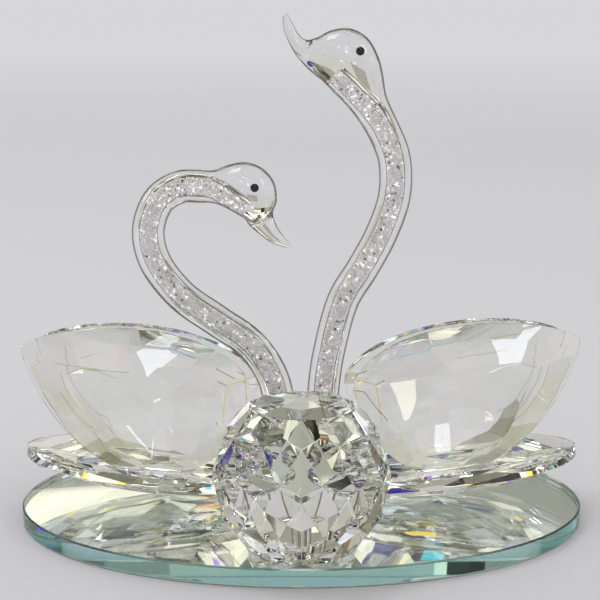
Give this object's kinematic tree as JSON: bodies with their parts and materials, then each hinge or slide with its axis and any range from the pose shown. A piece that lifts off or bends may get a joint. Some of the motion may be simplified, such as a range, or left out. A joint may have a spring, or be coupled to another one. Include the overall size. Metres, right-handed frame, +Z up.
{
  "type": "crystal glass figurine",
  "caption": "Two faceted crystal swans with blown glass necks full of crystal chips, facing each other behind a cut crystal ball on an oval mirror plate.",
  "frame": {"origin": "centre of the bounding box, on the plate's underside", "axes": "+X to the viewer's right along the plate's length, +Y to the back, +Z up; the ball stands towards -Y"},
  "size_m": [0.1802, 0.132, 0.1602],
  "materials": {
    "plate_glass": "clear float glass, green at the edge, ground arris",
    "plate_silver": "silvered",
    "plate_paint": "matt backing paint",
    "crystal": "clear cut and polished crystal",
    "blown_glass": "clear, lampworked and fire polished",
    "chips": "crushed crystal granules, faintly pink",
    "enamel": "glossy black enamel",
    "adhesive": "clear cured adhesive"
  },
  "bodies": {
    "root": {"plate_glass": "plate_glass", "plate_silver": "plate_silver", "plate_paint": "plate_paint", "ball": "crystal", "ball_adhesive": "adhesive", "left_body": "crystal", "left_front_wing": "crystal", "left_rear_wing": "crystal", "left_neck": "blown_glass", "left_chips": "chips", "left_head": "blown_glass", "left_eyes": "enamel", "left_adhesive": "adhesive", "right_body": "crystal", "right_front_wing": "crystal", "right_rear_wing": "crystal", "right_neck": "blown_glass", "right_chips": "chips", "right_head": "blown_glass", "right_eyes": "enamel", "right_adhesive": "adhesive"}
  },
  "joints": []
}
